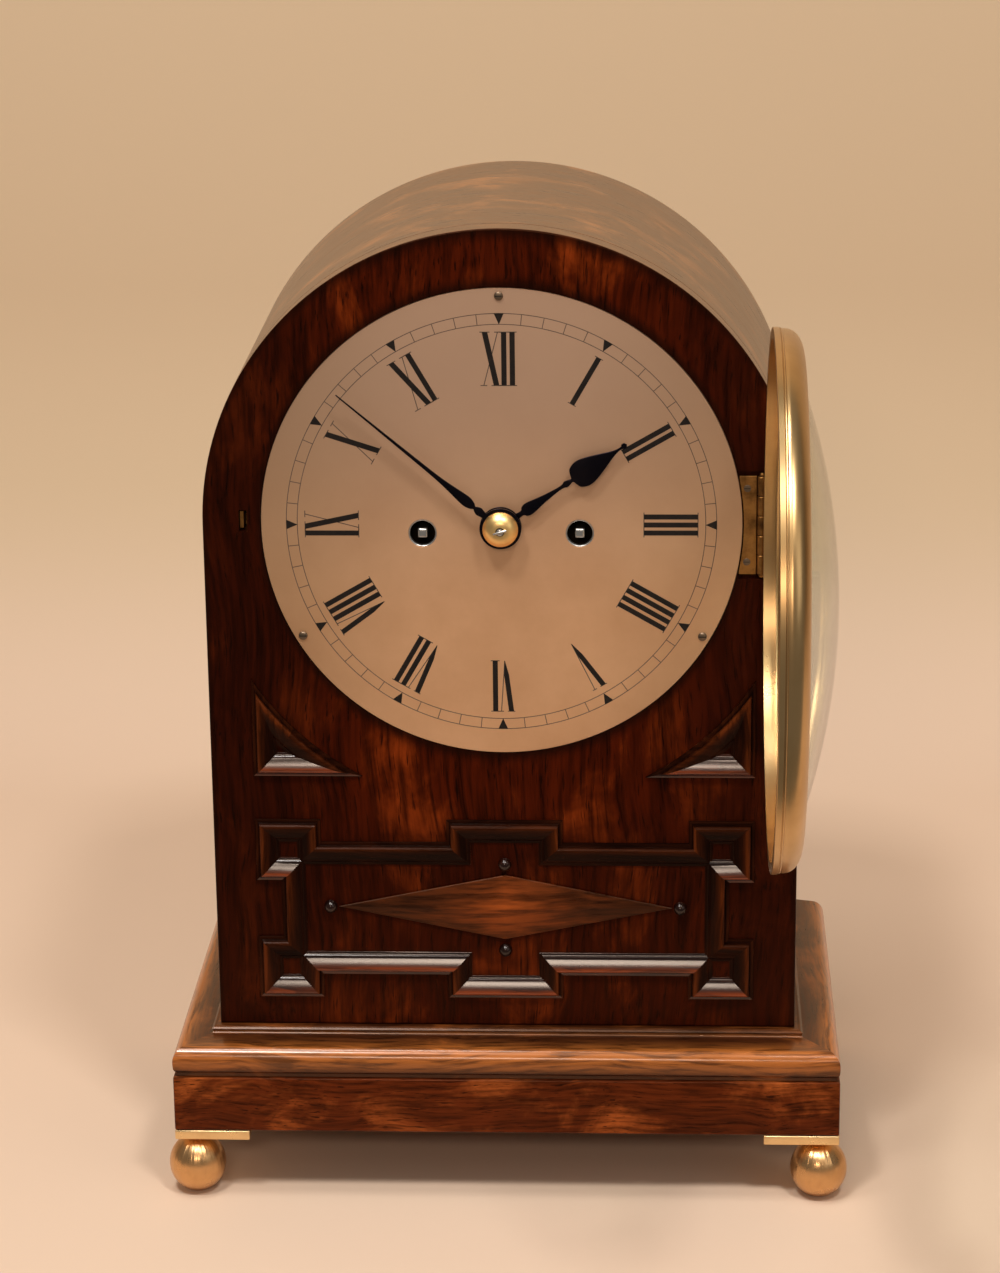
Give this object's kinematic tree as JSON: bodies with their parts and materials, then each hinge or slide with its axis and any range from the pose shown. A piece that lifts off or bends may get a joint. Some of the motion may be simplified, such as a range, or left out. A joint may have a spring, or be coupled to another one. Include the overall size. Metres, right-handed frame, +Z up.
{
  "type": "bracket clock",
  "caption": "Arch-topped wooden bracket clock on a moulded plinth with ball feet, with a silvered dial, an opening glazed bezel, a fusee movement and a glazed back door.",
  "frame": {"origin": "on the floor that the clock stands on, midway between its four ball feet", "axes": "+Z up, front of the dial towards -Y, +X to the right of someone facing the dial"},
  "size_m": [0.3, 0.3876, 0.4301],
  "materials": {
    "case_wood": "french-polished dark red-brown rosewood veneer, soft gloss",
    "arch_wood": "veneer bent over the arch, faded, hazy polish",
    "base_wood": "polished brown veneer with wavy grain",
    "trim_wood": "dark moulding, glossy on its edges",
    "lozenge_wood": "lighter brown, polished",
    "seat_wood": "plain unpolished softwood",
    "door_wood": "dark polished wood",
    "foot_brass": "satin, brushed",
    "bezel_brass": "polished and lacquered",
    "hinge_brass": "dull, slightly tarnished",
    "movement_brass": "satin",
    "bell_metal": "dull bell metal",
    "silvered_dial": "brass plate with a matt warm silvering and black-filled engraving",
    "blued_steel": "dark blued steel",
    "bright_steel": "bright steel",
    "convex_glass": "clear, convex, faintly green at its edge",
    "door_glass": "clear, flat"
  },
  "bodies": {
    "case": {"plinth": "base_wood", "base_moulding": "base_wood", "foot_plate_front_left": "foot_brass", "foot_plate_front_right": "foot_brass", "foot_plate_back_left": "foot_brass", "foot_plate_back_right": "foot_brass", "ball_foot_front_left": "foot_brass", "ball_foot_front_right": "foot_brass", "ball_foot_back_left": "foot_brass", "ball_foot_back_right": "foot_brass", "front_board": "case_wood", "left_side": "case_wood", "right_side": "case_wood", "arched_top": "arch_wood", "frieze_moulding": "trim_wood", "spandrel_left": "trim_wood", "spandrel_right": "trim_wood", "lozenge": "lozenge_wood", "boss_left": "trim_wood", "boss_right": "trim_wood", "boss_top": "trim_wood", "boss_bottom": "trim_wood", "dial_plate": "silvered_dial", "dial_screw_top": "bright_steel", "dial_screw_left": "bright_steel", "dial_screw_right": "bright_steel", "bezel_hinge_fixed_leaf": "hinge_brass", "bezel_hinge_pin": "hinge_brass", "catch_plate": "hinge_brass", "front_plate": "movement_brass", "back_plate": "movement_brass", "back_cock": "movement_brass", "seatboard": "seat_wood", "bell": "bell_metal", "bell_stand": "bright_steel", "door_hinge_upper": "hinge_brass", "door_hinge_lower": "hinge_brass"},
    "bezel": {"bezel_ring": "bezel_brass", "bezel_glass": "convex_glass", "sight_ring": "bezel_brass", "bezel_hinge_leaf": "hinge_brass"},
    "minute_arbor": {"minute_hand": "blued_steel", "hand_collet": "bezel_brass", "centre_arbor": "movement_brass"},
    "hour_pipe": {"hour_hand": "blued_steel", "hour_wheel": "movement_brass"},
    "minute_wheel": {"minute_wheel": "movement_brass"},
    "going_fusee": {"going_fusee": "movement_brass"},
    "strike_fusee": {"strike_fusee": "movement_brass"},
    "going_barrel": {"going_barrel": "movement_brass"},
    "strike_barrel": {"strike_barrel": "movement_brass"},
    "escape_wheel": {"escape_wheel": "movement_brass"},
    "pendulum": {"pallets_and_crutch": "bright_steel", "pendulum_rod": "bright_steel", "pendulum_bob": "movement_brass"},
    "hammer": {"hammer": "bright_steel"},
    "back_door": {"back_door_frame": "door_wood", "back_door_glass": "door_glass"},
    "door_catch": {"back_door_catch": "hinge_brass"}
  },
  "joints": [
    {"name": "bezel_hinge", "type": "hinge", "parent": "case", "child": "bezel", "pos_m": [0.1096, -0.07045, 0.3036], "axis": [0, 0, 1], "range_deg": [-90, 15]},
    {"name": "minute_turn", "type": "hinge", "parent": "case", "child": "minute_arbor", "pos_m": [0, -0.07075, 0.3036], "axis": [0, 1, 0], "continuous": true},
    {"name": "hour_turn", "type": "hinge", "parent": "case", "child": "hour_pipe", "pos_m": [0, -0.07075, 0.3036], "axis": [0, 1, 0], "continuous": true},
    {"name": "minute_wheel_turn", "type": "hinge", "parent": "case", "child": "minute_wheel", "pos_m": [0, -0.07075, 0.2802], "axis": [0, 1, 0], "continuous": true},
    {"name": "going_winding", "type": "hinge", "parent": "case", "child": "going_fusee", "pos_m": [0.0332, -0.07075, 0.2999], "axis": [0, 1, 0], "range_deg": [-1440, 1440]},
    {"name": "strike_winding", "type": "hinge", "parent": "case", "child": "strike_fusee", "pos_m": [-0.0332, -0.07075, 0.2999], "axis": [0, 1, 0], "range_deg": [-1440, 1440]},
    {"name": "going_barrel_turn", "type": "hinge", "parent": "case", "child": "going_barrel", "pos_m": [0.046, -0.07075, 0.2506], "axis": [0, 1, 0], "range_deg": [-1008, 1008]},
    {"name": "strike_barrel_turn", "type": "hinge", "parent": "case", "child": "strike_barrel", "pos_m": [-0.046, -0.07075, 0.2506], "axis": [0, 1, 0], "range_deg": [-1008, 1008]},
    {"name": "escape_turn", "type": "hinge", "parent": "case", "child": "escape_wheel", "pos_m": [0, -0.07075, 0.3396], "axis": [0, 1, 0], "continuous": true},
    {"name": "pendulum_swing", "type": "hinge", "parent": "case", "child": "pendulum", "pos_m": [0, -0.07075, 0.3591], "axis": [0, 1, 0], "range_deg": [-3, 3]},
    {"name": "hammer_lift", "type": "hinge", "parent": "case", "child": "hammer", "pos_m": [-0.054, -0.07075, 0.3476], "axis": [0, 1, 0], "range_deg": [-12, 3], "stiffness_Nm_per_rad": 0.4},
    {"name": "back_door_hinge", "type": "hinge", "parent": "case", "child": "back_door", "pos_m": [-0.1161, 0.09265, 0.1986], "axis": [0, 0, 1], "range_deg": [0, 110]},
    {"name": "door_catch_turn", "type": "hinge", "parent": "back_door", "child": "door_catch", "pos_m": [0.1046, 0.09, 0.1996], "axis": [0, 1, 0], "range_deg": [0, 90]}
  ],
  "couplings": [
    {"joint": "hour_turn", "follows": "minute_turn", "ratio": 0.083333},
    {"joint": "minute_wheel_turn", "follows": "minute_turn", "ratio": -1},
    {"joint": "going_barrel_turn", "follows": "going_winding", "ratio": 0.7},
    {"joint": "strike_barrel_turn", "follows": "strike_winding", "ratio": 0.7}
  ]
}
